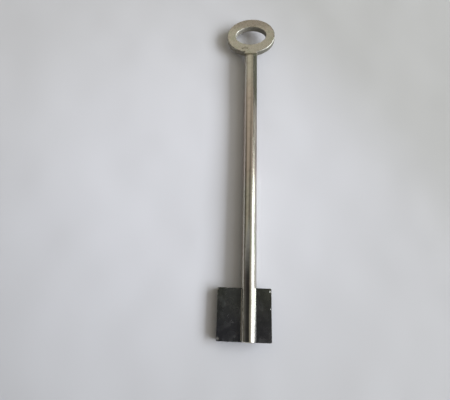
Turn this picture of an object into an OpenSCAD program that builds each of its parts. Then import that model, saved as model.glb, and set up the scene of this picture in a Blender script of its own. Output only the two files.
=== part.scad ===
// Key blank for a safe lock, with a long round shank, an oval bow and a two-winged bit.
// The origin is on the shank's axis at the tip. +Y runs along the shank to the bow,
// +X points to the narrow wing, and +Z is square to the flat faces of bow and bit.

/* [Shank] */
// Diameter of the round shank
shank_d = 6; // [5:0.1:9]
// Length of the shank, from the tip to the feet of its bevelled cheeks
shank_len = 126.8; // [60:0.2:240]
// Bevel around the rim of the tip
tip_bevel = 0.3; // [0.1:0.05:0.6]
// Slope of the two cheeks that hold the bow, measured from the shank's axis
cheek_angle = 42; // [30:1:70]
// Height of the blunt wall left at the foot of each cheek
cheek_foot = 0.35; // [0.2:0.05:0.5]

/* [Bit] */
// Thickness of the bit plate
bit_t = 2.4; // [1.2:0.1:3.6]
// Length of the bit along the shank
bit_len = 19.3; // [8:0.1:40]
// Reach of the wide wing from the side of the shank
wide_wing = 9; // [3:0.1:16]
// Reach of the narrow wing from the side of the shank
narrow_wing = 5.6; // [2:0.1:16]
// Radius of the bit's corners, seen from above
bit_corner_r = 0.5; // [0.2:0.1:1.5]

/* [Bow] */
// Width of the oval ring, across the key
bow_w = 23; // [18:0.2:36]
// Height of the oval ring, along the key
bow_h = 19.8; // [16:0.2:36]
// Width of the ring's band beside the eye, left and right
band_w = 4.3; // [2.5:0.1:6]
// Width of the ring's band in front of the eye and behind it
band_front_w = 4.9; // [2.5:0.1:7]
// Thickness of the strip that the bow is stamped from
bow_t = 2.8; // [1.6:0.1:3.4]
// Rounding of the edges of ring and eye
band_edge_r = 0.5; // [0.2:0.05:0.75]
// Length of the neck that shows between the shank and the ring
neck_len = 0.9; // [0.6:0.1:8]
// Radius of the corners where the neck meets the ring
neck_root_r = 1; // [0.4:0.1:2]
// Step from the bow's faces down to the faces of those corners
neck_root_step = 0.2; // [0.1:0.05:0.5]
// Depth of the tang inside the shank
tang_len = 7; // [3:0.5:20]

/* [Brazing] */
// Clearance on each side of a plate in its slot
braze_gap = 0.05; // [0.02:0.01:0.1]
// Radius of the hollow face of the fillets along the bit
bit_fillet_r = 0.55; // [0.3:0.05:1]
// Radius of the hollow face of the fillets at the bow
bow_fillet_r = 0.4; // [0.25:0.05:0.45]
// Angle at which a fillet's hollow face meets the steel beside it
meet_angle = 22; // [15:1:35]

/* [Hidden] */

plated_steel = [0.66, 0.64, 0.55];
dark_steel = [0.16, 0.16, 0.17];
filler_metal = [0.72, 0.64, 0.44];

round_fn = 96;
small_fn = 32;
// How far a cutting shape runs past what it cuts
past = 1;

shank_r = shank_d / 2;
bit_slot_depth = bit_len + braze_gap;
bow_slot_depth = tang_len + braze_gap;
bit_left = -shank_r - wide_wing;
bit_right = shank_r + narrow_wing;

half_w = bow_w / 2;
half_h = bow_h / 2;
eye_half_w = half_w - band_w;
eye_half_h = half_h - band_front_w;
ring_y = shank_len + neck_len + half_h;
ring_front_y = ring_y - half_h;

// Ring and eye are compass ovals: two round ends and two flatter sides. The arcs meet on lines
// that go 0.6 across for 0.8 along, so each radius and centre is a plain sum of the halves.
meet_across = 0.6;
meet_along = 0.8;
function end_r(w, h) = (3 * h - w) / 2;
function side_r(w, h) = 2 * w - h;
function end_x(w, h) = 1.5 * (w - h);
function side_y(w, h) = 2 * (w - h);

// Distance from the centre of a fillet's hollow face to each surface that it meets
function fillet_reach(r) = r * cos(meet_angle);

module slot(half_t, y_from, y_to) {
    translate([-shank_d, y_from, -half_t])
        cube([2 * shank_d, y_to - y_from, 2 * half_t]);
}

// The shank's round envelope between two places along the key
module round_bar(y_from, y_to) {
    translate([0, y_from, 0])
        rotate([-90, 0, 0])
            cylinder(h = y_to - y_from, r = shank_r, $fn = round_fn);
}

// A flat outline in the key's side view, from Y and Z, run across the whole width
module across(width) {
    rotate([90, 0, 90])
        linear_extrude(height = width, center = true)
            children();
}

module turned_rod() {
    rotate([-90, 0, 0])
        rotate_extrude($fn = round_fn)
            polygon([
                [0, 0],
                [shank_r - tip_bevel, 0],
                [shank_r, tip_bevel],
                [shank_r, shank_len],
                [0, shank_len]
            ]);
}

// What the cutter takes off above one cheek: a slope down to the blunt foot
module cheek_waste() {
    foot_z = bow_t / 2 + braze_gap + cheek_foot;
    top_z = shank_r + past;
    across(2 * shank_d)
        polygon([
            [shank_len, foot_z],
            [shank_len - (top_z - foot_z) / tan(cheek_angle), top_z],
            [shank_len + past, top_z],
            [shank_len + past, foot_z]
        ]);
}

module shank() {
    color(plated_steel)
        difference() {
            turned_rod();
            slot(bit_t / 2 + braze_gap, -past, bit_slot_depth);
            slot(bow_t / 2 + braze_gap, shank_len - bow_slot_depth, shank_len + past);
            cheek_waste();
            mirror([0, 0, 1]) cheek_waste();
        }
}

module bit_outline() {
    r = bit_corner_r;
    width = bit_right - bit_left;
    translate([bit_left, r])
        square([width, bit_len - 2 * r]);
    translate([bit_left + r, 0])
        square([width - 2 * r, bit_len]);
    for (x = [bit_left + r, bit_right - r], y = [r, bit_len - r])
        translate([x, y])
            circle(r = r, $fn = small_fn);
}

module bit() {
    color(dark_steel)
        linear_extrude(height = bit_t, center = true)
            bit_outline();
}

// Half of a turned disc, from its axis to its rounded rim
module disc_profile(rim_r) {
    r = band_edge_r;
    translate([0, r - bow_t / 2])
        square([rim_r, bow_t - 2 * r]);
    translate([0, -bow_t / 2])
        square([rim_r - r, bow_t]);
    for (z = [r - bow_t / 2, bow_t / 2 - r])
        translate([rim_r - r, z])
            circle(r = r, $fn = small_fn);
}

// Half of a turned cutter for the eye. It widens near both faces, and so rounds the eye's edges
module eye_profile(eye_r) {
    r = band_edge_r;
    centre_z = bow_t / 2 - fillet_reach(r);
    difference() {
        translate([0, -bow_t / 2 - past])
            square([eye_r + r, bow_t + 2 * past]);
        translate([eye_r, -centre_z])
            square([2 * r, 2 * centre_z]);
        for (z = [-centre_z, centre_z])
            translate([eye_r + r, z])
                circle(r = r, $fn = small_fn);
    }
}

// The part of an oval that its side arcs bound: it lies between the lines where arcs meet
module between_meeting_lines(w, h) {
    x = end_x(w, h);
    far_x = x + bow_w * meet_across;
    far_y = bow_w * meet_along;
    linear_extrude(height = bow_t + 4 * past, center = true)
        polygon([[x, 0], [far_x, far_y], [-far_x, far_y], [-x, 0], [-far_x, -far_y], [far_x, -far_y]]);
}

// The eye's cutter: two round ends, and between them what both side arcs have in common
module eye() {
    w = eye_half_w;
    h = eye_half_h;
    for (side = [-1, 1])
        translate([side * end_x(w, h), 0, 0])
            rotate_extrude($fn = round_fn)
                eye_profile(end_r(w, h));
    intersection() {
        between_meeting_lines(w, h);
        translate([0, side_y(w, h), 0])
            rotate_extrude($fn = round_fn)
                eye_profile(side_r(w, h));
        translate([0, -side_y(w, h), 0])
            rotate_extrude($fn = round_fn)
                eye_profile(side_r(w, h));
    }
}

module ring_plate() {
    w = half_w;
    h = half_h;
    for (side = [-1, 1])
        translate([side * end_x(w, h), 0, 0])
            rotate_extrude($fn = round_fn)
                disc_profile(end_r(w, h));
    intersection() {
        between_meeting_lines(w, h);
        translate([0, side_y(w, h), 0])
            rotate_extrude($fn = round_fn)
                disc_profile(side_r(w, h));
        translate([0, -side_y(w, h), 0])
            rotate_extrude($fn = round_fn)
                disc_profile(side_r(w, h));
    }
}

// Tang and neck in one: strip of the bow's thickness, turned down flush with the shank
module tang_and_neck() {
    y_from = shank_len - tang_len;
    y_to = ring_front_y + band_front_w / 2;
    intersection() {
        round_bar(y_from, y_to);
        slot(bow_t / 2, y_from - past, y_to + past);
    }
}

// The hollow corner between the neck's side and the front of the ring, on the +X side
module neck_root() {
    reach = fillet_reach(neck_root_r);
    side_arc_r = side_r(half_w, half_h);
    arc_centre_y = ring_y + side_y(half_w, half_h);
    centre_x = shank_r + reach;
    below_arc = sqrt(pow(side_arc_r + reach, 2) - pow(centre_x, 2));
    into_band = (side_arc_r - band_edge_r) / (side_arc_r + reach);
    inner_x = shank_r - band_edge_r;
    linear_extrude(height = bow_t - 2 * neck_root_step, center = true)
        difference() {
            polygon([
                [inner_x, arc_centre_y - below_arc],
                [centre_x, arc_centre_y - below_arc],
                [centre_x * into_band, arc_centre_y - below_arc * into_band],
                [inner_x, arc_centre_y - below_arc * into_band]
            ]);
            translate([centre_x, arc_centre_y - below_arc])
                circle(r = neck_root_r, $fn = small_fn);
        }
}

module bow() {
    color(plated_steel)
        difference() {
            union() {
                translate([0, ring_y, 0]) ring_plate();
                tang_and_neck();
                neck_root();
                mirror([1, 0, 0]) neck_root();
            }
            translate([0, ring_y, 0]) eye();
        }
}

// One fillet between the top of a wing and the shank's round side, on the +X side
module wing_fillet() {
    reach = fillet_reach(bit_fillet_r);
    face_z = bit_t / 2;
    centre_z = face_z + reach;
    centre_x = sqrt(pow(shank_r + reach, 2) - pow(centre_z, 2));
    corner_x = sqrt(pow(shank_r, 2) - pow(face_z, 2));
    to_shank = shank_r / (shank_r + reach);
    translate([0, bit_len - bit_corner_r, 0])
        rotate([90, 0, 0])
            linear_extrude(height = bit_len - 2 * bit_corner_r)
                difference() {
                    polygon([
                        [corner_x * to_shank, face_z],
                        [centre_x, face_z],
                        [centre_x, centre_z],
                        [centre_x * to_shank, centre_z * to_shank]
                    ]);
                    circle(r = shank_r, $fn = round_fn);
                    translate([centre_x, centre_z])
                        circle(r = bit_fillet_r, $fn = small_fn);
                }
}

module narrow_wing_braze() {
    color(filler_metal) {
        wing_fillet();
        mirror([0, 0, 1]) wing_fillet();
    }
}

module wide_wing_braze() {
    color(filler_metal)
        mirror([1, 0, 0]) {
            wing_fillet();
            mirror([0, 0, 1]) wing_fillet();
        }
}

// One fillet between the foot of a cheek and the neck's upper face
module cheek_fillet() {
    reach = fillet_reach(bow_fillet_r);
    face_z = bow_t / 2;
    intersection() {
        across(shank_d)
            difference() {
                translate([shank_len, face_z])
                    square(reach);
                translate([shank_len + reach, face_z + reach])
                    circle(r = bow_fillet_r, $fn = small_fn);
            }
        round_bar(shank_len - past, shank_len + past);
    }
}

module bow_braze() {
    color(filler_metal) {
        cheek_fillet();
        mirror([0, 0, 1]) cheek_fillet();
    }
}

shank();
bow();
bit();
wide_wing_braze();
narrow_wing_braze();
bow_braze();
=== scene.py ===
# %% [markdown]
# # A long safe key blank, dressed around its imported model
# The real thing is a round steel shank with an oval bow let into one end and a flat bit let into
# the other. Fillets of brazing filler hold both. Nothing on it moves. The imported model gives the
# true sizes in metres: the tip is at the origin, +Y runs along the shank to the bow, +X points to
# the narrow wing, +Z is up. The pieces could be modelled again here, but their shapes are already
# right. So this lesson keeps them, lays them on paper, and gives each one the finish and the light
# of the real thing.

# %% Load the imported model and keep its box
import math

import bmesh
import bpy
from mathutils import Matrix, Vector


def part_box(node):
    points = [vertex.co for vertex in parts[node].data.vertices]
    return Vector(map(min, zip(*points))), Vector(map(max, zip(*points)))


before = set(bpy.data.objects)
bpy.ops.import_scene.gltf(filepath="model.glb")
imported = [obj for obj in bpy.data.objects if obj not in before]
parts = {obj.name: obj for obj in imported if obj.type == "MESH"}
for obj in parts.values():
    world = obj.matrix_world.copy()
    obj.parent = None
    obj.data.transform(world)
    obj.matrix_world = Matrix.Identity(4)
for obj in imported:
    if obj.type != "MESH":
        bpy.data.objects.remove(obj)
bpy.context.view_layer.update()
MM = 0.001


print("nodes:", sorted(parts))

# %% [markdown]
# ## Sizes that the finishes need
# A mark of wear belongs to the metal that it is on: it starts from an edge or an end. Such places
# could be typed in a second time, but then they would stay behind when the source changes. They
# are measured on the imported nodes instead, in metres for shapes and in millimetres for finishes.

# %% Measure the nodes
bit_low, bit_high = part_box("bit")
bow_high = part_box("bow")[1]
shank_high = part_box("shank")[1]
shank_r = shank_high.x
shank_end = shank_high.y

shank_r_mm = shank_r / MM
shank_end_mm = shank_end / MM
bit_left_mm = bit_low.x / MM
bit_right_mm = bit_high.x / MM
bit_end_mm = bit_high.y / MM
bit_top_mm = bit_high.z / MM
bow_right_mm = bow_high.x / MM
bow_end_mm = bow_high.y / MM
bow_top_mm = bow_high.z / MM

print("shank radius and length, mm:", round(shank_r_mm, 2), round(shank_end_mm, 2))
print("wings to the left and right, mm:", round(bit_left_mm, 2), round(bit_right_mm, 2))
print("bow's far end, mm:", round(bow_end_mm, 2))

# %% [markdown]
# ## The camera
# The photograph was taken from above the bit, looking a little towards the bow, so the shank
# seems to narrow as it goes away. A camera could be turned by hand until it looks right. Here a
# pinhole camera was fitted to the outlines of shank, bit and ring instead, because the same fit
# also gives their sizes in ratio to the shank. Its place is in millimetres, and its focal length
# is in pixels of the 450 pixel wide frame.

# %% Place the camera
FRAME_WIDTH_PX = 450
FOCAL_PX = 320
SENSOR_MM = 36
CAMERA_PLACE = Vector((0.639, 17.201, 128.717)) * MM
CAMERA_LOOKS = Vector((-0.0813, 0.2789, -0.9569))
CAMERA_UP = Vector((-0.0072, 0.9599, 0.2803))
NEAREST_SEEN = 5 * MM

lens = bpy.data.cameras.new("camera")
lens.sensor_width = SENSOR_MM
lens.lens = FOCAL_PX / FRAME_WIDTH_PX * SENSOR_MM
lens.clip_start = NEAREST_SEEN
camera = bpy.data.objects.new("camera", lens)
bpy.context.scene.collection.objects.link(camera)
camera_back = -CAMERA_LOOKS.normalized()
camera_right = CAMERA_UP.cross(camera_back).normalized()
camera_top = camera_back.cross(camera_right)
turn = Matrix((camera_right, camera_top, camera_back)).transposed()
camera.matrix_world = Matrix.Translation(CAMERA_PLACE) @ turn.to_4x4()
bpy.context.scene.camera = camera

print("lens, mm:", round(lens.lens, 2))

# %% [markdown]
# ## How the key lies on the paper
# A key of this kind can't lie level. It rests on its round shank and on the lower edge of the
# wide wing. The frame keeps the flats level, so here the paper leans instead of the key. The lean
# could be guessed, but it follows from the shank's radius and the wing's reach. Soft paper gives
# a little under the wing's edge, as the length of the shadow there shows.

# %% Find the paper's lean
PAPER_GIVES = math.radians(1.5)

bit_half_t = bit_high.z
wing_reach = -bit_low.x
to_wing_edge = math.hypot(wing_reach, bit_half_t)
full_lean = math.asin(shank_r / to_wing_edge) - math.atan(bit_half_t / wing_reach)
paper_lean = full_lean - PAPER_GIVES
rest_x = -shank_r * math.sin(paper_lean)
rest_z = -shank_r * math.cos(paper_lean)

print("the paper leans by", round(math.degrees(paper_lean), 2), "degrees")

# %% [markdown]
# ## The paper's shape
# The real sheet isn't quite flat. Near the key it leans by the angle just found, and far away it
# is level. It dips a little under the bow, and it has a shallow dent where the wide wing presses
# on it. It could be sculpted by hand, but one formula for its height keeps it against the key
# when a size changes.

# %% Shape the paper
LEAN_FULL_TO = 100 * MM
LEAN_GONE_AT = 900 * MM
DIP_FROM = 85 * MM
DIP_TO = 145 * MM
DIP_DEPTH = 1.0 * MM
PRESSED_UNDER_WING = 0.18 * MM
PRESSED_REACH = 80 * MM


def ease(value):
    """Goes softly from 0 to 1 as the value does, and keeps still before and after."""
    held = min(max(value, 0), 1)
    return held * held * (3 - 2 * held)


def paper_height(x, y):
    """Height of the paper under a place, in metres."""
    away = math.hypot(x - rest_x, y - shank_end / 2)
    keep = 1 - ease((away - LEAN_FULL_TO) / (LEAN_GONE_AT - LEAN_FULL_TO))
    lean = math.tan(paper_lean) * (x - rest_x) * keep
    dip = DIP_DEPTH * ease((y - DIP_FROM) / (DIP_TO - DIP_FROM)) * keep
    from_wing = math.hypot(x - bit_low.x, y - bit_high.y / 2)
    pressed = PRESSED_UNDER_WING * (1 - ease(from_wing / PRESSED_REACH))
    return rest_z - lean - dip - pressed


print("paper under the tip, mm:", round(paper_height(0, 0) / MM, 2))
print("paper under the wide wing's edge, mm:", round(paper_height(bit_low.x, 0) / MM, 2))

# %% [markdown]
# ## The sheet of paper
# An even grid would need very many squares to be fine enough near the key. The sheet is made of
# rings instead, close together round the key and wide apart far away, where nothing changes any
# more. It belongs to the picture and not to the object.

# %% Make the sheet of paper
PAPER_RADIUS = 3.0
PAPER_RINGS = 90
PAPER_SPOKES = 96
RINGS_SPREAD = 2.2


def ring_of_points(sheet, radius):
    """One ring of points on the paper about the middle of the key."""
    points = []
    for spoke in range(PAPER_SPOKES):
        angle = 2 * math.pi * spoke / PAPER_SPOKES
        x = rest_x + radius * math.cos(angle)
        y = shank_end / 2 + radius * math.sin(angle)
        points.append(sheet.verts.new((x, y, paper_height(x, y))))
    return points


def make_paper():
    """A round sheet, fine near the key and coarse far away."""
    sheet = bmesh.new()
    steps = [ring / PAPER_RINGS for ring in range(1, PAPER_RINGS + 1)]
    rings = [ring_of_points(sheet, PAPER_RADIUS * step ** RINGS_SPREAD) for step in steps]
    sheet.faces.new(rings[0])
    for inner, outer in zip(rings, rings[1:]):
        for spoke in range(PAPER_SPOKES):
            after = (spoke + 1) % PAPER_SPOKES
            sheet.faces.new((inner[spoke], outer[spoke], outer[after], inner[after]))
    mesh = bpy.data.meshes.new("paper")
    sheet.to_mesh(mesh)
    sheet.free()
    for face in mesh.polygons:
        face.use_smooth = True
    return bpy.data.objects.new("paper", mesh)


paper = make_paper()
bpy.context.scene.collection.objects.link(paper)
print("paper faces:", len(paper.data.polygons))

# %% [markdown]
# ## Words for building a finish
# A finish is a small network of nodes. It could be drawn by hand in the shader editor, but then
# nobody could read why each number is what it is. Here every helper adds one node and gives back
# its output, so that a finish reads like a recipe. The first helpers start a finish, wire its
# inputs, and find places on the metal. Places come in millimetres from the frame itself, so a
# mark stays where it is on the metal, whatever way the camera looks.

# %% Helpers for nodes and places
def plug(tree, value, socket):
    """Wires another node's output into a socket, or types a plain value in."""
    if isinstance(value, bpy.types.NodeSocket):
        tree.links.new(value, socket)
    else:
        socket.default_value = value


def set_inputs(tree, node, **inputs):
    """Sets inputs of a node by their names, with _ for each blank."""
    for name, value in inputs.items():
        plug(tree, value, node.inputs[name.replace("_", " ")])


def add(tree, kind, **inputs):
    """One new node of a kind, with its inputs set by name."""
    node = tree.nodes.new(kind)
    set_inputs(tree, node, **inputs)
    return node


def start_finish(name):
    """A new node material, its tree and its shader."""
    finish = bpy.data.materials.new(name)
    finish.use_nodes = True
    return finish, finish.node_tree, finish.node_tree.nodes["Principled BSDF"]


def place_mm(tree):
    """The place on the metal, in millimetres."""
    metres = tree.nodes.new("ShaderNodeTexCoord").outputs["Object"]
    scaled = add(tree, "ShaderNodeVectorMath", Vector=metres)
    scaled.operation = "SCALE"
    scaled.inputs["Scale"].default_value = 1 / MM
    return scaled.outputs["Vector"]


def part_ways(tree, vector):
    """The X, Y and Z of a place or a direction, as separate numbers."""
    return add(tree, "ShaderNodeSeparateXYZ", Vector=vector).outputs


def away_from(tree, place, point):
    """Distance from a place to a fixed point."""
    away = tree.nodes.new("ShaderNodeVectorMath")
    away.operation = "DISTANCE"
    plug(tree, place, away.inputs[0])
    plug(tree, point, away.inputs[1])
    return away.outputs["Value"]


def stretch(tree, place, x=1.0, y=1.0, z=1.0):
    """The place with each direction multiplied. A pattern is drawn out where this is below 1."""
    stretched = tree.nodes.new("ShaderNodeVectorMath")
    stretched.operation = "MULTIPLY"
    plug(tree, place, stretched.inputs[0])
    plug(tree, (x, y, z), stretched.inputs[1])
    return stretched.outputs["Vector"]


print("a place is in units of", MM, "metres")

# %% [markdown]
# ## Words for arithmetic
# Wear is seldom one pattern. The handled side of the shank is its right side times its far
# stretch, and dirt is the larger of two patches. One Math node does one such sum, and these
# helpers give the sums plain names. A step turns a number such as a height into a soft edge,
# because nothing on worn metal begins at a hard line.

# %% Helpers for sums and steps
def work_out(tree, operation, *values):
    """One Math node on one or two numbers."""
    node = tree.nodes.new("ShaderNodeMath")
    node.operation = operation
    for value, socket in zip(values, node.inputs):
        plug(tree, value, socket)
    return node.outputs["Value"]


def times(tree, first, second):
    return work_out(tree, "MULTIPLY", first, second)


def plus(tree, first, second):
    return work_out(tree, "ADD", first, second)


def minus(tree, first, second):
    return work_out(tree, "SUBTRACT", first, second)


def larger(tree, first, second):
    return work_out(tree, "MAXIMUM", first, second)


def smaller(tree, first, second):
    return work_out(tree, "MINIMUM", first, second)


def without_sign(tree, value):
    return work_out(tree, "ABSOLUTE", value)


def step_up(tree, value, low, high, to_low=0.0, to_high=1.0):
    """A soft step from to_low to to_high while the value goes from low to high."""
    step = add(tree, "ShaderNodeMapRange", Value=value, From_Min=low, From_Max=high)
    step.interpolation_type = "SMOOTHSTEP"
    set_inputs(tree, step, To_Min=to_low, To_Max=to_high)
    return step.outputs["Result"]


def step_down(tree, value, low, high):
    """A soft step from 1 to 0 while the value goes from low to high."""
    return step_up(tree, value, low, high, to_low=1.0, to_high=0.0)


def stripe(tree, value, begin, full_from, full_to, end):
    """1 where the value lies inside a stripe, with a soft edge on both sides."""
    begun = step_up(tree, value, begin, full_from)
    not_ended = step_down(tree, value, full_to, end)
    return times(tree, begun, not_ended)


print("sums:", [word.__name__ for word in (times, plus, minus, larger, smaller, without_sign)])

# %% [markdown]
# ## Words for patterns, colour and relief
# Metal and paper are uneven at every scale. Painted pictures could show that, but they have seams
# and are only as fine as their pixels. Noise has neither: plain it makes clouds, and drawn out it
# makes lines. A pattern then lays one colour over another, or tilts the light as a fine relief.

# %% Helpers for patterns, colour and relief
SPOT_FULL_TO = 0.4


def grain(tree, place, per_mm, detail=3.0, rough=0.55):
    """A cloudy pattern from 0 to 1, with so many clouds in a millimetre."""
    clouds = add(tree, "ShaderNodeTexNoise", Vector=place, Scale=per_mm, Detail=detail)
    clouds.inputs["Roughness"].default_value = rough
    return clouds.outputs["Fac"]


def lines(tree, place, x, y, z, lowest):
    """Fine lines along the direction that has the smallest number, as a pattern from 0 to 1."""
    drawn_out = grain(tree, stretch(tree, place, x, y, z), per_mm=1, detail=3, rough=0.6)
    return step_up(tree, drawn_out, low=lowest, high=0.75)


def spot(tree, place, centre, radius):
    """1 inside a round spot about a place in millimetres, fading to its rim."""
    return step_down(tree, away_from(tree, place, centre), SPOT_FULL_TO * radius, radius)


def any_spot(tree, place, spots):
    """1 inside any of some spots, each given by its centre and its radius."""
    inside = 0.0
    for centre, radius in spots:
        inside = larger(tree, inside, spot(tree, place, centre, radius))
    return inside


def tint(tree, share, base, over):
    """The base colour, with a share of another colour over it."""
    mix = tree.nodes.new("ShaderNodeMix")
    mix.data_type = "RGBA"
    plug(tree, share, mix.inputs["Factor"])
    colour_sockets = [socket for socket in mix.inputs if socket.type == "RGBA"]
    for socket, colour in zip(colour_sockets, (base, over)):
        plain = isinstance(colour, tuple)
        plug(tree, (*colour, 1) if plain else colour, socket)
    return next(socket for socket in mix.outputs if socket.type == "RGBA")


def relief(tree, height, depth_mm, over=None):
    """Tilts the light as a relief of this depth would, on top of another relief where given."""
    bump = add(tree, "ShaderNodeBump", Height=height, Distance=depth_mm * MM)
    if over is not None:
        plug(tree, over, bump.inputs["Normal"])
    return bump.outputs["Normal"]


print("a spot is full to", SPOT_FULL_TO, "of its radius")

# %% [markdown]
# ## The paper's finish
# Copy paper is matt, nearly white and a little blue under daylight. It has a fine felt of
# fibres and very shallow waves. The daylight on the real sheet falls off with distance and
# towards the far right corner. More lamps could do that, but each would leave a mark on the
# plate, so that falloff is painted into the paper's own colour as painted shade.

# %% Finish the paper
PAPER_MIDDLE = (0.68, 0.67, 0.70)
PAPER_FAR_SHADE = (0.565, 0.555, 0.565)
PAPER_CORNER_SHADE = (0.489, 0.480, 0.469)
PAPER_BRIGHTEST = (-30, 62, 0)
PAPER_FADES = (20, 120)
SHADED_CORNER = (90, 155)
SHADED_CORNER_SLANT = 0.7
PAPER_ROUGHNESS = 0.9
PAPER_SHINE = 0.1


def paper_colour(tree, place):
    """White near the key, with painted shade far away and in the far right corner."""
    # Painted shade: the paper darkens away from its brightest place and towards the far corner.
    fade = step_up(tree, away_from(tree, place, PAPER_BRIGHTEST), *PAPER_FADES)
    base = tint(tree, fade, PAPER_MIDDLE, PAPER_FAR_SHADE)
    x, y, _ = part_ways(tree, place)
    to_corner = plus(tree, x, times(tree, y, SHADED_CORNER_SLANT))
    return tint(tree, step_up(tree, to_corner, *SHADED_CORNER), base, PAPER_CORNER_SHADE)


def paper_finish():
    """Matt paper with shallow waves and fibres."""
    finish, tree, shader = start_finish("paper")
    place = place_mm(tree)
    waves = relief(tree, grain(tree, place, per_mm=0.03, detail=1), depth_mm=1.0)
    fibres = relief(tree, grain(tree, place, per_mm=5, detail=2), depth_mm=0.02, over=waves)
    set_inputs(tree, shader, Base_Color=paper_colour(tree, place), Normal=fibres)
    set_inputs(tree, shader, Roughness=PAPER_ROUGHNESS, Specular_IOR_Level=PAPER_SHINE)
    return finish


paper.data.materials.append(paper_finish())
print("nodes in the paper's finish:", len(paper.data.materials[0].node_tree.nodes))

# %% [markdown]
# ## The window
# One window low on the right lights the real scene. It gives the white strip along the shank and
# the long, soft shadows on the left. A sun lamp would make the shadows hard, and a bright picture
# of a window would be noisy. A large area lamp gives both the strip and the softness. The camera
# doesn't see it.

# %% Hang the window
WINDOW_BEARING = math.radians(-2)
WINDOW_ELEVATION = math.radians(20.5)
WINDOW_AWAY = 2.0
WINDOW_WIDE = 2.1
WINDOW_TALL = 0.72
WINDOW_GLOW = 12.8
WINDOW_COLOUR = (0.86, 0.92, 1.0)


def hang_window():
    """A soft oblong light. Its glow is how bright it looks, where 1 is white."""
    come_from = Vector((
        math.cos(WINDOW_ELEVATION) * math.cos(WINDOW_BEARING),
        math.cos(WINDOW_ELEVATION) * math.sin(WINDOW_BEARING),
        math.sin(WINDOW_ELEVATION),
    ))
    lamp = bpy.data.lights.new("window", "AREA")
    lamp.shape = "RECTANGLE"
    lamp.size = WINDOW_WIDE
    lamp.size_y = WINDOW_TALL
    lamp.energy = WINDOW_GLOW * math.pi * WINDOW_WIDE * WINDOW_TALL
    lamp.color = WINDOW_COLOUR
    window = bpy.data.objects.new("window", lamp)
    window.location = Vector((0, shank_end / 2, 0)) + come_from * WINDOW_AWAY
    window.rotation_euler = come_from.to_track_quat("Z", "Y").to_euler()
    window.visible_camera = False
    bpy.context.scene.collection.objects.link(window)
    return lamp


window_lamp = hang_window()
print("window power, W:", round(window_lamp.energy, 1))

# %% [markdown]
# ## Ways in the room
# Plated steel has hardly any colour of its own: it shows the room. The room could be built of
# boxes, but that is slow to tune. Only its bands on the shank are seen, so it is painted on the
# world's background. Each ray has two numbers: how many degrees it goes to the right of straight
# up, and how far it goes towards the bow. The window's wall stands at a slant to the key, so a
# third number follows that wall. Rays that hardly go towards the bow all share one slant.

# %% Find ways in the room
WINDOW_WALL_SLANT = 58
SLANT_FROM = 0.25

room = bpy.data.worlds.new("room")
room.use_nodes = True
bpy.context.scene.world = room


def way_in_room(tree):
    """A ray's degrees right of straight up, the same along the window's wall, and its +Y."""
    x, y, z = part_ways(tree, tree.nodes.new("ShaderNodeTexCoord").outputs["Generated"])
    from_top = times(tree, work_out(tree, "ARCTAN2", x, z), math.degrees(1))
    slant = times(tree, larger(tree, y, SLANT_FROM), WINDOW_WALL_SLANT)
    return from_top, minus(tree, from_top, slant), y


print("window's middle, degrees from straight up:", round(90 - math.degrees(WINDOW_ELEVATION), 1))

# %% [markdown]
# ## The room's light
# The rest of the real room is dim and warm. Dark furniture on the left and a shelf above the
# window make the dark bands on the shank, and a bright blind over the window makes the window's
# strip wider near the bit. Each could be an object of its own, but far things are simpler as
# stripes of degrees with soft edges. Each edge was set by the band that it makes on the shank.

# %% Light the room
ROOM = (0.43, 0.41, 0.345)
ROOM_FAR_WALL = (0.62, 0.59, 0.50)
FAR_WALL_FROM = (0.25, 0.75)
ROOM_DARK = (0.098, 0.091, 0.074)
FURNITURE_ON_LEFT = (-102, -84, -62, -44)
SHELF_ABOVE_WINDOW = (-38, -21, -5, 6)
SHELF_SHARE = 0.75
DARK_FADES = (0.35, 0.7)
DARK_NEAR_BIT = 0.9
DARK_NEAR_BOW = 0.3
BLIND = (1.94, 2.02, 2.11)
BLIND_OVER_WINDOW = (19, 28, 56, 68)
BLIND_TO_BOW = (-0.35, -0.2, 0.25, 0.45)
ROOM_STRENGTH = 1.0


def dark_things(tree, from_top, along_wall, to_bow):
    """Share of dark in the room: furniture on the left, and a shelf above the window."""
    furniture = stripe(tree, from_top, *FURNITURE_ON_LEFT)
    shelf = times(tree, stripe(tree, along_wall, *SHELF_ABOVE_WINDOW), SHELF_SHARE)
    fade = step_up(tree, to_bow, *DARK_FADES, to_low=DARK_NEAR_BIT, to_high=DARK_NEAR_BOW)
    return times(tree, larger(tree, furniture, shelf), fade)


def light_room():
    """Walls, dark things and the blind, one over the other."""
    tree = room.node_tree
    from_top, along_wall, to_bow = way_in_room(tree)
    walls = tint(tree, step_up(tree, to_bow, *FAR_WALL_FROM), ROOM, ROOM_FAR_WALL)
    dark = dark_things(tree, from_top, along_wall, to_bow)
    furnished = tint(tree, dark, walls, ROOM_DARK)
    blind = stripe(tree, along_wall, *BLIND_OVER_WINDOW)
    blind = times(tree, blind, stripe(tree, to_bow, *BLIND_TO_BOW))
    with_blind = tint(tree, blind, furnished, BLIND)
    set_inputs(tree, tree.nodes["Background"], Color=with_blind, Strength=ROOM_STRENGTH)


light_room()
print("nodes in the room:", len(room.node_tree.nodes))

# %% [markdown]
# ## A dim card
# Photographers hang cards beside shiny things, to give them something dark to reflect. A card
# could be painted black here too, but then the bright paper would light it up. This one has a dim
# glow instead of paint, so it looks the same from below whatever the paper sends up. The camera
# doesn't see it.

# %% Cut a dim card
def card_sheet(name, corners):
    """One flat face with these corners."""
    outline = bmesh.new()
    outline.faces.new([outline.verts.new(corner) for corner in corners])
    mesh = bpy.data.meshes.new(name)
    outline.to_mesh(mesh)
    outline.free()
    return mesh


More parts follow.
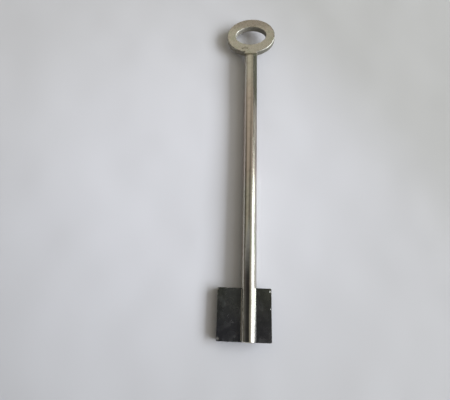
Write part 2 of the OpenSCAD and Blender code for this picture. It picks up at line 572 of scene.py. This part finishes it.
def card_glow(name, first_grey, last_grey, along, first_mm, last_mm):
    """A glow that goes from the first grey to the last between two places along one axis."""
    finish, tree, shader = start_finish(name)
    share = step_up(tree, part_ways(tree, place_mm(tree))[along], first_mm, last_mm)
    colour = tint(tree, share, (first_grey,) * 3, (last_grey,) * 3)
    glow = add(tree, "ShaderNodeEmission", Color=colour, Strength=1.0)
    tree.links.new(glow.outputs["Emission"], tree.nodes["Material Output"].inputs["Surface"])
    tree.nodes.remove(shader)
    return finish


def hang_card(name, corners, glow, shades=False):
    """A card for the metal to reflect. Where it shades, it keeps light off the paper too."""
    card = bpy.data.objects.new(name, card_sheet(name, corners))
    bpy.context.scene.collection.objects.link(card)
    card.data.materials.append(glow)
    card.visible_camera = False
    card.visible_diffuse = shades
    card.visible_shadow = shades
    print("hung", name, "with corners at, m:", corners)


# %% [markdown]
# ## Dark things near the key
# The plate and the black bit show two dark things that aren't in the picture. Something wide is
# over the bit, with a soft far edge, and something stands behind on the right. Their shapes don't
# show, so plain cards will do. The one overhead also keeps the room's light off the paper round
# the bit, which deepens the shadow there.

# %% Hang the dark cards
OVERHEAD_Z = 0.140
OVERHEAD_LEFT = -0.34
OVERHEAD_RIGHT = 0.022
OVERHEAD_NEAR = -0.25
OVERHEAD_FAR = 0.034
OVERHEAD_GONE = 0.075
RIGHT_NEAR = (0.85, 0.42)
RIGHT_FAR = (0.30, 0.95)
RIGHT_TOP = 0.45


def overhead_corners(near, far):
    """Corners of a level card above the bit, between two places along the shank."""
    return [
        (OVERHEAD_LEFT, near, OVERHEAD_Z),
        (OVERHEAD_RIGHT, near, OVERHEAD_Z),
        (OVERHEAD_RIGHT, far, OVERHEAD_Z),
        (OVERHEAD_LEFT, far, OVERHEAD_Z),
    ]


over_bit = overhead_corners(OVERHEAD_NEAR, OVERHEAD_FAR)
overhead_glow = card_glow(
    "card_overhead", first_grey=0.14, last_grey=0.034, along="X", first_mm=-280, last_mm=-30,
)
hang_card("card_overhead", over_bit, overhead_glow, shades=True)

beyond_bit = overhead_corners(OVERHEAD_FAR, OVERHEAD_GONE)
edge_glow = card_glow(
    "card_overhead_edge", first_grey=0.06, last_grey=0.36, along="Y", first_mm=28, last_mm=75,
)
hang_card("card_overhead_edge", beyond_bit, edge_glow)

right_glow = card_glow(
    "card_right", first_grey=0.12, last_grey=0.12, along="X", first_mm=0, last_mm=1,
)
hang_card("card_right", [
    (*RIGHT_NEAR, 0.0),
    (*RIGHT_FAR, 0.0),
    (*RIGHT_FAR, RIGHT_TOP),
    (*RIGHT_NEAR, RIGHT_TOP),
], right_glow)

# %% [markdown]
# ## Nickel plate
# The shank and the bow are steel under a thin, warm coat of nickel. New plate is even, and one
# metal colour would do for it. Years of handling leave it with faint pink and olive clouds and
# with brown specks where the coat is pierced. Each is one pattern with one colour, so that it can
# be made stronger or weaker alone.

# %% Mix the nickel
NICKEL = (0.59, 0.565, 0.50)
NICKEL_PINK = (0.58, 0.495, 0.455)
NICKEL_OLIVE = (0.485, 0.505, 0.405)
TARNISH_AND_SHADE = (0.29, 0.263, 0.207)
CLOUD_SHARE = 0.8
SPECK_EDGE = 0.06


def clouds_of_colour(tree, place, per_mm):
    """Slow clouds with clear metal between them."""
    clouds = grain(tree, place, per_mm, detail=4, rough=0.6)
    return step_up(tree, clouds, low=0.5, high=0.72, to_high=CLOUD_SHARE)


def cloudy_nickel(tree, place, per_mm):
    """Nickel with slow clouds of pink and olive in it."""
    pink = clouds_of_colour(tree, place, per_mm)
    olive = clouds_of_colour(tree, stretch(tree, place, y=-1), per_mm)
    return tint(tree, olive, tint(tree, pink, NICKEL, NICKEL_PINK), NICKEL_OLIVE)


def specks(tree, place, per_mm, rarity):
    """Small brown pits. A higher rarity leaves fewer of them."""
    return step_up(tree, grain(tree, place, per_mm, detail=2), rarity, rarity + SPECK_EDGE)


def dress(node, finish):
    """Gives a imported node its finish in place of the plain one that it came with."""
    mesh = parts[node].data
    mesh.materials.clear()
    mesh.materials.append(finish)
    print("dressed", node, "in", finish.name, "with", len(finish.node_tree.nodes), "nodes")


print("nickel colours:", NICKEL, NICKEL_PINK, NICKEL_OLIVE)

# %% [markdown]
# ## The shank's plate
# The plate on the shank has its clouds drawn out along the bar, because the bar was polished that
# way. Its middle stretch has a pink film, whose ends wander. The film could end at a ring round
# the bar, but a little noise added to the distance makes an edge that nobody drew.

# %% Mix the shank's colour
PINK_FILM = (0.60, 0.495, 0.445)
PINK_STRETCH = (58, 68, 104, 116)
PINK_SHARE = 0.75
PINK_WANDERS = 16
CLOUDS_ALONG_SHANK = 0.25
SHANK_SPECKS = 3.0
DULL_CLOUD_SHARE = 0.35


def shank_plate(tree, place, y):
    """Cloudy nickel with a pink film on the shank's middle stretch."""
    long_clouds = stretch(tree, place, y=CLOUDS_ALONG_SHANK)
    base = cloudy_nickel(tree, long_clouds, per_mm=0.3)
    wander = times(tree, grain(tree, long_clouds, per_mm=0.25), PINK_WANDERS)
    uneven_y = minus(tree, plus(tree, y, wander), PINK_WANDERS / 2)
    share = times(tree, stripe(tree, uneven_y, *PINK_STRETCH), PINK_SHARE)
    return tint(tree, share, base, PINK_FILM)


def shank_dull_places(tree, place):
    """Dull clouds and brown specks in the plate."""
    clouds = grain(tree, place, per_mm=0.35, detail=6, rough=0.65)
    dull_clouds = step_up(tree, clouds, low=0.45, high=0.75, to_high=DULL_CLOUD_SHARE)
    return larger(tree, dull_clouds, specks(tree, place, SHANK_SPECKS, rarity=0.66))


print("pink film, mm from the tip:", PINK_STRETCH[0], "to", PINK_STRETCH[-1])

# %% [markdown]
# ## The side that is handled
# A key of this length is held by the shank next to the bow, and its right side has gone dark and
# dull there. Nearer the bit a thin line of painted shade runs to the right of the window's strip
# and trims its glow. On the left a faint line of painted shade dims the reflection along the whole
# length. All of these could be painted on the mesh, but they follow the bar's roundness. So they
# are written as shares of its radius, and a thicker or thinner bar would carry them too.

# %% Darken the handled side
HANDLED_AND_SHADE = (0.10, 0.098, 0.062)
RIGHT_SIDE = (0.1, 0.75)
DARK_SIDE = (62, 76)
DARK_SHARE = 0.62
DARKEST_SIDE = (94, 104)
DARKEST_SHARE = 0.38
SHADE_LINE_RIGHT = (0.36, 0.50, 0.64, 0.75)
SHADE_LINE_STRENGTHENS = (50, 66)
SHADE_LINE_NEAR_BIT = 0.5
SHADE_LINE_NEAR_BOW = 0.8
SHADE_LINE_STARTS_PAST_BIT = (-1, 2)
SHADE_LINE_LEFT = (-0.97, -0.84, -0.70, -0.56)
SHADE_LINE_LEFT_SHARE = 0.42


def across_shank(tree, x):
    """How far to the right of the axis, as a share of the shank's radius."""
    return times(tree, x, 1 / shank_r_mm)


def right_side(tree, x):
    """1 on the shank's right side and 0 on its left."""
    return step_up(tree, x, *(share * shank_r_mm for share in RIGHT_SIDE))


def painted_shade_line(tree, x, y):
    """The thin line of painted shade to the right of the window's strip, which trims its glow."""
    strength = step_up(
        tree, y, *SHADE_LINE_STRENGTHENS, to_low=SHADE_LINE_NEAR_BIT, to_high=SHADE_LINE_NEAR_BOW,
    )
    past_bit = step_up(tree, minus(tree, y, bit_end_mm), *SHADE_LINE_STARTS_PAST_BIT)
    strength = times(tree, strength, past_bit)
    return times(tree, stripe(tree, across_shank(tree, x), *SHADE_LINE_RIGHT), strength)


def handled_side_and_shade_line(tree, x, y):
    """Share of dark on the handled side, and of painted shade along its line."""
    darker = step_up(tree, y, *DARK_SIDE, to_high=DARK_SHARE)
    darkest = step_up(tree, y, *DARKEST_SIDE, to_high=DARKEST_SHARE)
    handled = times(tree, right_side(tree, x), plus(tree, darker, darkest))
    return larger(tree, handled, painted_shade_line(tree, x, y))


def painted_shade_line_left(tree, x):
    """Share of the faint line of painted shade on the left, dimming the reflection all along."""
    return times(tree, stripe(tree, across_shank(tree, x), *SHADE_LINE_LEFT), SHADE_LINE_LEFT_SHARE)


print("dark side, mm from the tip:", DARK_SIDE[0], "and darkest from", DARKEST_SIDE[0])

# %% [markdown]
# ## Flux, painted shade and painted light at the joints
# Flux is the paste that lets filler run, and a thin glassy skin of it stays beside a brazed
# joint. Along the narrow wing the skin is black: burnt flux, and painted shade that trims the
# window's strip on the shank's right flank. Along the wide wing it is pale: flux that was plated
# over, and painted light on a flank that reflects the dark wing. Both skins climb higher towards
# the tip. Painted shade darkens the cheeks where they meet the bow. The skins could be pieces of
# their own, but they are thinner than a hair, so they are only colour.

# %% Leave flux, painted shade and painted light at the joints
BLACK_FLUX_AND_SHADE = (0.085, 0.08, 0.07)
PALE_FLUX_AND_LIGHT = (0.55, 0.52, 0.45)
SKIN_STARTS = (-0.3, -0.05)
SKIN_STOPS = (0.13, 0.33)
SKIN_CLIMBS = 0.4
SKIN_ENDS_PAST_BIT = (0.2, 0.9)
PALE_FLUX_METALLIC = 0.3
CHEEK_FOOT_SHADE = (-2.1, -1.4)


def skin_by_bit(tree, y, z):
    """1 on the thin skin along both sides of the bit: flux with painted shade and painted light.
    """
    above_bit = minus(tree, without_sign(tree, z), bit_top_mm)
    climb = step_up(tree, y, 0, bit_end_mm, to_low=SKIN_CLIMBS, to_high=0.0)
    skin = times(
        tree,
        step_down(tree, minus(tree, above_bit, climb), *SKIN_STOPS),
        step_up(tree, above_bit, *SKIN_STARTS),
    )
    return times(tree, skin, step_down(tree, minus(tree, y, bit_end_mm), *SKIN_ENDS_PAST_BIT))


def flux_shade_and_light_by_bit(tree, x, y, z):
    """Shares of black flux and painted shade by the narrow wing, and of pale flux and painted
    light.
    """
    skin = skin_by_bit(tree, y, z)
    black = times(tree, skin, step_up(tree, x, 0, 1))
    pale = times(tree, skin, step_down(tree, x, -1, 0))
    return black, pale


def shade_by_bow(tree, y):
    """1 on the last stretch of the cheeks before the bow, where painted shade darkens the joint.
    """
    return step_up(tree, minus(tree, y, shank_end_mm), *CHEEK_FOOT_SHADE)


print("flux lies above and below the bit's faces, at mm:", round(bit_top_mm, 2))

# %% [markdown]
# ## Gloss and relief of the shank
# The bar was turned and polished before it was plated, so it still has rings from the lathe, long
# lines from drawing, and a fine orange peel in the coat. They are far too fine to model, but they
# make the edge of the window's strip ragged. Dirt is rougher than plate, the handled side is the
# roughest, and the stretch towards the tip is rubbed bright.

# %% Polish the shank
GLOSS = (0.10, 0.19)
ROUGH_FROM_DIRT = 0.14
ROUGH_FROM_HANDS = 0.2
HANDS_FROM = (50, 90)
RUBBED_BRIGHT = (45, 80)
RUBBED_SHARE = 0.55


def shank_roughness(tree, place, dull):
    """Roughness: low on rubbed plate, higher in dirt and on the handled side."""
    x, y, _ = part_ways(tree, place)
    drawn = lines(tree, place, x=3, y=0.1, z=3, lowest=0.3)
    rough = step_up(tree, drawn, 0.2, 0.9, *GLOSS)
    rough = plus(tree, rough, times(tree, dull, ROUGH_FROM_DIRT))
    handled = times(tree, right_side(tree, x), step_up(tree, y, *HANDS_FROM))
    rough = plus(tree, rough, times(tree, handled, ROUGH_FROM_HANDS))
    return times(tree, rough, step_up(tree, y, *RUBBED_BRIGHT, to_low=RUBBED_SHARE))


def shank_relief(tree, place):
    """Waves, rings from the lathe, orange peel and drawn lines, one over the other."""
    rings = lines(tree, place, x=0.3, y=8, z=0.3, lowest=0.3)
    drawn = lines(tree, place, x=5, y=0.08, z=5, lowest=0.5)
    peel = grain(tree, place, per_mm=1.3, detail=2)
    surface = relief(tree, grain(tree, place, per_mm=0.12, detail=1), depth_mm=0.05)
    surface = relief(tree, rings, depth_mm=0.003, over=surface)
    surface = relief(tree, peel, depth_mm=0.012, over=surface)
    return relief(tree, drawn, depth_mm=0.004, over=surface)


print("rubbed bright, mm from the tip: 0 to", RUBBED_BRIGHT[0])

# %% [markdown]
# ## The whole shank
# The layers now go on one over another: plate first, then a faint line of painted shade, dull
# places, dirt and the painted shade where the cheeks meet the bow, then flux with its painted
# shade and painted light, and the dark of handling with its line of painted shade last. They could
# all be mixed at once, but in this order a layer covers what it covers on the real bar. The pale
# flux isn't bare metal, so it is less metallic.

# %% Finish the shank
def shank_finish():
    """Plate, dirt, flux and handling on the shank."""
    finish, tree, shader = start_finish("nickel_on_shank")
    place = place_mm(tree)
    x, y, z = part_ways(tree, place)
    black_flux_and_shade, pale_flux_and_light = flux_shade_and_light_by_bit(tree, x, y, z)
    # dirt holds the black flux skin and the painted shade where the cheeks meet the bow.
    dirt = larger(tree, black_flux_and_shade, shade_by_bow(tree, y))
    dull = larger(tree, shank_dull_places(tree, place), dirt)
    base = shank_plate(tree, place, y)
    # A faint line of painted shade on the left dims the reflection along the shank.
    base = tint(tree, painted_shade_line_left(tree, x), base, TARNISH_AND_SHADE)
    base = tint(tree, dull, base, TARNISH_AND_SHADE)
    # Along the narrow wing black flux and painted shade, along the wide wing pale flux and painted
    # light.
    base = tint(tree, black_flux_and_shade, base, BLACK_FLUX_AND_SHADE)
    base = tint(tree, pale_flux_and_light, base, PALE_FLUX_AND_LIGHT)
    # The handled side's dark, and the thin line of painted shade beside the window's strip.
    base = tint(tree, handled_side_and_shade_line(tree, x, y), base, HANDLED_AND_SHADE)
    metallic = step_up(tree, pale_flux_and_light, 0, 1, to_low=1.0, to_high=PALE_FLUX_METALLIC)
    rough = shank_roughness(tree, place, dull)
    surface = shank_relief(tree, place)
    set_inputs(tree, shader, Base_Color=base, Metallic=metallic, Roughness=rough, Normal=surface)
    return finish


dress("shank", shank_finish())

# %% [markdown]
# ## The bow's plate
# The ring is held more than anything else on a key. Towards its far end the plate is thin and
# brownish, with blotches where it is worn through. The edge of the thin part could be straight,
# but as on the shank it wanders with a little noise.

# %% Mix the bow's colour
THIN_PLATE = (0.405, 0.355, 0.32)
THIN_SHARE = 0.8
THIN_BEFORE_END = (-5, 0)
THIN_WANDERS = 5
BLOTCHES_ANYWHERE = 0.25
BOW_SPECKS = 3.5


def bow_plate(tree, place, y):
    """Cloudy nickel that is thin, brown and blotched towards the bow's far end."""
    base = cloudy_nickel(tree, place, per_mm=0.4)
    wander = times(tree, grain(tree, place, per_mm=0.5), THIN_WANDERS)
    before_end = minus(tree, plus(tree, y, wander), bow_end_mm)
    thin = step_up(tree, before_end, *THIN_BEFORE_END, to_high=THIN_SHARE)
    base = tint(tree, thin, base, THIN_PLATE)
    blotches = step_up(tree, grain(tree, place, per_mm=0.9, detail=4, rough=0.7), 0.5, 0.66)
    blotches = times(tree, blotches, plus(tree, thin, BLOTCHES_ANYWHERE))
    worn_through = larger(tree, blotches, specks(tree, place, BOW_SPECKS, rarity=0.66))
    return tint(tree, worn_through, base, TARNISH_AND_SHADE)


print("plate is thinnest at the bow's far end, mm:", round(bow_end_mm, 1))

# %% [markdown]
# ## Walls and rims
# The ring was stamped from strip, so its two faces are smooth but its sheared walls are rough.
# The walls and the rims between face and wall are darkened unevenly, partly by dirt and partly by
# painted shade that dims the window's glints, most of all on the right. Which of them a place is
# on could be marked on each face by hand. The direction that the surface faces tells it too:
# straight up on a face, sideways on a wall.

# %% Tell walls from faces
WALL_DIRT_AND_SHADE = (0.26, 0.25, 0.21)
WALL_FACES_UP = (0.15, 0.75)
WALL_DARKER_ACROSS = (-6, 6)
WALL_DARK_ON_LEFT = 0.45
RIM_FACES_UP = (0.3, 0.6, 0.93, 0.99)
SLOT_ENDS = (-0.6, -0.2)


def faces_up(tree):
    """1 on a level face and 0 on an upright wall."""
    normal = tree.nodes.new("ShaderNodeNewGeometry").outputs["Normal"]
    return without_sign(tree, part_ways(tree, normal)["Z"])


def past_slot(tree, y):
    """0 on the tang inside the shank's slot and 1 beyond it."""
    return step_up(tree, minus(tree, y, shank_end_mm), *SLOT_ENDS)


def bow_walls(tree, y):
    """1 on the sheared walls outside the slot."""
    return times(tree, step_down(tree, faces_up(tree), *WALL_FACES_UP), past_slot(tree, y))


def bow_rims(tree):
    """1 on the narrow rims between a face and a wall."""
    return stripe(tree, faces_up(tree), *RIM_FACES_UP)


def dirty_and_shaded_edges(tree, place, base, walls, rims):
    """The colour with dirt and painted shade laid on walls and rims."""
    x = part_ways(tree, place)["X"]
    # Dirt and painted shade on the walls, more on the right, where it dims the window's glints.
    on_walls = times(tree, walls, step_up(tree, x, *WALL_DARKER_ACROSS, to_low=WALL_DARK_ON_LEFT))
    base = tint(tree, on_walls, base, WALL_DIRT_AND_SHADE)
    uneven = step_up(tree, grain(tree, place, per_mm=0.8), 0.35, 0.65, to_low=0.2, to_high=0.9)
    return tint(tree, times(tree, rims, uneven), base, WALL_DIRT_AND_SHADE)


print("walls get dirtier to the right between these places, mm:", WALL_DARKER_ACROSS)

# %% [markdown]
# ## Dirt and painted shade by the neck
# Painted shade darkens the seam where the strip enters the shank. Dirt sits in a few patches
# beside the neck and on the right end of the ring. The sides of the tang lie flush with the
# shank's handled side and have the same dark on them. Noise alone would put the patches anywhere,
# and a painted mask would need a picture. So each patch is a round spot in its own place,
# multiplied by a ragged pattern to hide that it is round.

# %% Put dirt and painted shade by the neck
SEAM_SHADE_AND_DIRT = (0.17, 0.15, 0.105)
SEAM_SHADE = (-0.3, -0.1, 0.4, 0.85)
TANG_RIGHT = (0, 2)
BAND_DIRT = [
    ((-4.0, shank_end_mm + 3.5, bow_top_mm), 0.9),
    ((-2.9, shank_end_mm + 3.9, bow_top_mm), 1.0),
    ((-1.7, shank_end_mm + 3.7, bow_top_mm), 0.8),
    ((-3.1, shank_end_mm + 1.7, bow_top_mm), 0.9),
    ((bow_right_mm - 0.2, bow_end_mm - 10.5, bow_top_mm), 1.0),
    ((bow_right_mm - 0.5, bow_end_mm - 6.5, bow_top_mm), 0.9),
]


def neck_dirt_and_seam_shade(tree, place, base):
    """The colour with painted shade in the seam, the tang's side and the patches of dirt on it."""
    x, y, _ = part_ways(tree, place)
    # Painted shade darkens the seam where the strip enters the shank.
    seam = stripe(tree, minus(tree, y, shank_end_mm), *SEAM_SHADE)
    base = tint(tree, seam, base, SEAM_SHADE_AND_DIRT)
    in_slot = minus(tree, 1.0, past_slot(tree, y))
    base = tint(tree, times(tree, in_slot, step_up(tree, x, *TANG_RIGHT)), base, HANDLED_AND_SHADE)
    rags = grain(tree, stretch(tree, place, x=0.6, y=1.6), per_mm=1.8, detail=3, rough=0.6)
    ragged = step_up(tree, rags, 0.4, 0.58, to_low=0.1, to_high=0.8)
    for centre, radius in BAND_DIRT:
        patch = times(tree, spot(tree, place, centre, radius), ragged)
        base = tint(tree, patch, base, SEAM_SHADE_AND_DIRT)
    return base


print("patches of dirt on the bow:", len(BAND_DIRT), "at height, mm:", round(bow_top_mm, 2))

# %% [markdown]
# ## The whole bow
# The bow gets the same nickel as the shank, then its edges with dirt and painted shade, then the
# dirt and the seam's painted shade by the neck. Its faces were never turned on a lathe, so its
# relief is only slow waves and the upright marks of shearing. One roughness for all of it would be
# simpler, but the walls are much rougher than the faces, and that is what makes the ring look
# stamped.

# %% Finish the bow
FACE_ROUGH = (0.24, 0.34)
WALL_ROUGHER = 0.38
RIM_ROUGHER = 0.2


def bow_finish():
    """Plate, dirt and shear marks on the bow."""
    finish, tree, shader = start_finish("nickel_on_bow")
    place = place_mm(tree)
    y = part_ways(tree, place)["Y"]
    walls = bow_walls(tree, y)
    rims = bow_rims(tree)
    base = dirty_and_shaded_edges(tree, place, bow_plate(tree, place, y), walls, rims)
    base = neck_dirt_and_seam_shade(tree, place, base)
    rough = step_up(tree, grain(tree, place, per_mm=1.2), 0.3, 0.7, *FACE_ROUGH)
    rough = plus(tree, rough, times(tree, walls, WALL_ROUGHER))
    rough = plus(tree, rough, times(tree, rims, RIM_ROUGHER))
    waves = relief(tree, grain(tree, place, per_mm=0.35, detail=2), depth_mm=0.035)
    shear_marks = lines(tree, place, x=4, y=4, z=0.4, lowest=0.3)
    surface = relief(tree, shear_marks, depth_mm=0.01, over=waves)
    set_inputs(tree, shader, Base_Color=base, Metallic=1.0, Roughness=rough, Normal=surface)
    return finish


dress("bow", bow_finish())

# %% [markdown]
# ## The bit's black
# The bit is one flat plate of steel, blackened in oil. Its coat drifts from bluish at the tip to
# greenish further up, and the narrow wing is the blackest. Next to the shank the wide wing has a
# thin greasy film, and fingers left a few smudges. One dark grey could stand for all of it, but
# a flat dark plate shows every change of tone, because nothing else happens on it.

# %% Mix the bit's black
BLACK_AT_TIP = (0.185, 0.185, 0.205)
BLACK_FURTHER_UP = (0.20, 0.21, 0.18)
BLACKEST = (0.10, 0.10, 0.105)
SMEAR = (0.40, 0.40, 0.41)
BLACK_DRIFTS = (10, 24)
DRIFT_WANDERS = 14
FILM_ACROSS = (bit_left_mm + 1.5, bit_left_mm + 3.5, -2, -1)
FILM_ALONG = (2, 14)
FILM_AT_TIP = 0.06
FILM_FURTHER_UP = 0.3
NARROW_WING = (2, 4)
BLACKEST_ALONG = (13, 18)
BLACKEST_AT_TIP = 0.4
BLACKEST_FURTHER_UP = 0.1
SMUDGES = [
    ((bit_left_mm + 3.1, bit_end_mm - 6.1, bit_top_mm), 0.55),
    ((bit_left_mm + 4.5, bit_end_mm - 10.3, bit_top_mm), 0.9),
    ((bit_left_mm + 6.1, bit_end_mm - 12.2, bit_top_mm), 1.0),
    ((bit_left_mm + 6.7, 1.9, bit_top_mm), 0.7),
    ((bit_right_mm - 3.6, bit_end_mm - 7.6, bit_top_mm), 0.9),
]


def bit_black(tree, place):
    """The black coat, with its drift, the film and the blackest wing."""
    x, y, _ = part_ways(tree, place)
    drift = plus(tree, y, times(tree, grain(tree, place, per_mm=0.2), DRIFT_WANDERS))
    base = tint(tree, step_up(tree, drift, *BLACK_DRIFTS), BLACK_AT_TIP, BLACK_FURTHER_UP)
    film = step_up(tree, y, *FILM_ALONG, to_low=FILM_AT_TIP, to_high=FILM_FURTHER_UP)
    film = times(tree, stripe(tree, x, *FILM_ACROSS), film)
    base = tint(tree, film, base, SMEAR)
    black = step_up(tree, y, *BLACKEST_ALONG, to_low=BLACKEST_AT_TIP, to_high=BLACKEST_FURTHER_UP)
    return tint(tree, times(tree, step_up(tree, x, *NARROW_WING), black), base, BLACKEST)


def bit_smears(tree, place):
    """Share of grey smear: faint clouds everywhere, and a few ragged smudges."""
    clouds = grain(tree, stretch(tree, place, y=0.6), per_mm=0.4, detail=3, rough=0.5)
    faint = step_up(tree, clouds, low=0.5, high=0.8, to_high=0.4)
    rags = grain(tree, stretch(tree, place, y=0.5), per_mm=2.2, detail=3, rough=0.6)
    ragged = step_up(tree, rags, low=0.48, high=0.62)
    return larger(tree, faint, times(tree, any_spot(tree, place, SMUDGES), ragged))


print("smudges on the bit:", len(SMUDGES))

# %% [markdown]
# ## Bare steel on the bit
# The coat is rubbed through along the edges, with small chips, and a few corners are knocked
# bare. The wear needs the distance to the nearest edge. The mesh could carry that number at its
# corners, but the plate is a plain block, so its sides give it: an edge is where two sides are
# near, and the distance to it is the second smallest of the distances to the sides.

# %% Wear the bit's edges
BARE_STEEL = (0.66, 0.65, 0.62)
WEAR_EDGE = (-0.05, 0.08)
WEAR_SHARE = 0.8
CHIPS_REACH = (-0.04, 0.36)
SCRATCH_RARITY = 0.73
SCRATCH_SHARE = 0.5
KNOCKS = [
    ((bit_left_mm + 0.75, 1.0, bit_top_mm), 0.52),
    ((bit_right_mm - 0.25, bit_end_mm - 1.1, bit_top_mm), 0.6),
    ((bit_right_mm - 0.2, bit_end_mm - 7.5, bit_top_mm), 0.35),
    ((bit_left_mm + 0.1, bit_end_mm - 0.4, bit_top_mm), 0.45),
]


def edge_distance(tree, place):
    """Distance to the plate's nearest edge: the second smallest of those to its sides."""
    x, y, z = part_ways(tree, place)
    to_x = smaller(tree, minus(tree, x, bit_left_mm), minus(tree, bit_right_mm, x))
    to_y = smaller(tree, y, minus(tree, bit_end_mm, y))
    to_z = minus(tree, bit_top_mm, without_sign(tree, z))
    nearer = smaller(tree, to_x, to_y)
    further = larger(tree, to_x, to_y)
    return larger(tree, nearer, smaller(tree, further, to_z))


def worn_edges(tree, place, knocks):
    """1 where the coat is gone: along edges, in chips and at knocks."""
    chips = grain(tree, place, per_mm=1.3, detail=4, rough=0.7)
    chips = step_up(tree, chips, 0.45, 0.8, *CHIPS_REACH)
    from_edge = minus(tree, edge_distance(tree, place), chips)
    return larger(tree, step_down(tree, from_edge, *WEAR_EDGE), knocks)


def bit_scratches(tree, place):
    """Rare hair scratches, some along the bit and some across it."""
    along = lines(tree, place, x=5, y=0.25, z=1, lowest=SCRATCH_RARITY)
    across = lines(tree, place, x=0.3, y=6, z=1, lowest=SCRATCH_RARITY)
    return larger(tree, along, across)


print("knocks on the bit:", len(KNOCKS))

# %% [markdown]
# ## The whole bit
# Black, smears, scratches and bare steel go over one another, in that order. A smear is grease
# and not metal, so it is a little less metallic and a little rougher. Scratches and knocks could
# be cut into the mesh, but they are very small, so they go into the relief. Their heights are
# turned over there, because they are hollows.

# %% Finish the bit
SMEAR_METALLIC = (0.95, 0.86)
BIT_ROUGH = (0.23, 0.29)
SMEAR_ROUGHER = 0.06


def bit_relief(tree, place, scratches, knocks):
    """Orange peel, fine cuts and dented corners, one over the other."""
    surface = relief(tree, grain(tree, place, per_mm=0.25, detail=2), depth_mm=0.012)
    surface = relief(tree, times(tree, scratches, -1), depth_mm=0.002, over=surface)
    dents = times(tree, knocks, grain(tree, place, per_mm=2.2, detail=2))
    return relief(tree, times(tree, dents, -1), depth_mm=0.2, over=surface)


def bit_finish():
    """Black coat, smears, scratches and bare edges on the bit."""
    finish, tree, shader = start_finish("blackened_bit")
    place = place_mm(tree)
    smears = bit_smears(tree, place)
    scratches = bit_scratches(tree, place)
    knocks = any_spot(tree, place, KNOCKS)
    base = tint(tree, smears, bit_black(tree, place), SMEAR)
    base = tint(tree, times(tree, scratches, SCRATCH_SHARE), base, BARE_STEEL)
    worn = worn_edges(tree, place, knocks)
    base = tint(tree, times(tree, worn, WEAR_SHARE), base, BARE_STEEL)
    metallic = step_up(tree, smears, 0, 1, *SMEAR_METALLIC)
    rough = step_up(tree, grain(tree, place, per_mm=0.3, detail=2), 0.3, 0.7, *BIT_ROUGH)
    rough = plus(tree, rough, times(tree, smears, SMEAR_ROUGHER))
    surface = bit_relief(tree, place, scratches, knocks)
    set_inputs(tree, shader, Base_Color=base, Metallic=metallic, Roughness=rough, Normal=surface)
    return finish


dress("bit", bit_finish())

# %% [markdown]
# ## Soft edges
# No real edge is as sharp as a modelled one. The bit's and the shank's edges were broken with a
# file, and each holds a thin line of light. The source could have this too, but the edges are
# less than a tenth of a millimetre wide, so they are finish and not construction. A modifier
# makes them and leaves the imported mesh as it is.

# %% Break the sharp edges
BIT_EDGE_MM = 0.07
SHANK_EDGE_MM = 0.05
EDGE_SEGMENTS = 2
SHARP_FROM = math.radians(40)


def soften_edges(node, width_mm):
    """Takes the razor edge off, so that each edge can hold a thin line of light."""
    bevel = parts[node].modifiers.new("soft edges", "BEVEL")
    bevel.width = width_mm * MM
    bevel.segments = EDGE_SEGMENTS
    bevel.limit_method = "ANGLE"
    bevel.angle_limit = SHARP_FROM
    bevel.harden_normals = False
    print("softened the edges of", node, "by", width_mm, "mm")


soften_edges("bit", BIT_EDGE_MM)
soften_edges("shank", SHANK_EDGE_MM)

# %% [markdown]
# ## The filler's finish
# Brazing filler is a yellow metal, but little of it shows here. By the narrow wing it is under
# black flux, by the wide wing it is pale, as plate and as painted light on a fillet in the shank's
# shadow, and by the bow it is brown. It ran in as a liquid and froze with pits, so it is rough and
# uneven. One finish with three sets of values does for all three, as they differ only in what lies
# over the metal.

# %% Finish the filler
FLUX_BROWN = (0.20, 0.165, 0.11)
FILLER_YELLOW = (0.30, 0.25, 0.16)
FILLER_ROUGH = (0.42, 0.65)


def filler_finish(name, flux, bare_share, metallic):
    """Pitted filler under flux, with a share of bare yellow metal."""
    finish, tree, shader = start_finish(name)
    place = place_mm(tree)
    bare = step_up(tree, grain(tree, place, per_mm=2, detail=4), 0.5, 0.72, to_high=bare_share)
    base = tint(tree, bare, flux, FILLER_YELLOW)
    rough = step_up(tree, grain(tree, place, per_mm=4), 0.3, 0.7, *FILLER_ROUGH)
    pits = relief(tree, grain(tree, place, per_mm=5), depth_mm=0.03)
    set_inputs(tree, shader, Base_Color=base, Metallic=metallic, Roughness=rough, Normal=pits)
    return finish


dress("wide_wing_braze", filler_finish(
    "filler_at_wide_wing", flux=PALE_FLUX_AND_LIGHT, bare_share=0.35, metallic=0.2,
))
dress("narrow_wing_braze", filler_finish(
    "filler_at_narrow_wing", flux=BLACK_FLUX_AND_SHADE, bare_share=0.35, metallic=0.0,
))
dress("bow_braze", filler_finish(
    "filler_at_bow", flux=FLUX_BROWN, bare_share=0.6, metallic=0.6,
))

# %% [markdown]
# ## Set the view and finish
# The key is of a real size, and a finish must not change it. The colours are seen through the
# plain Standard view, because any other view would change what each number means.

# %% Set the view and finish
bpy.context.scene.view_settings.view_transform = "Standard"
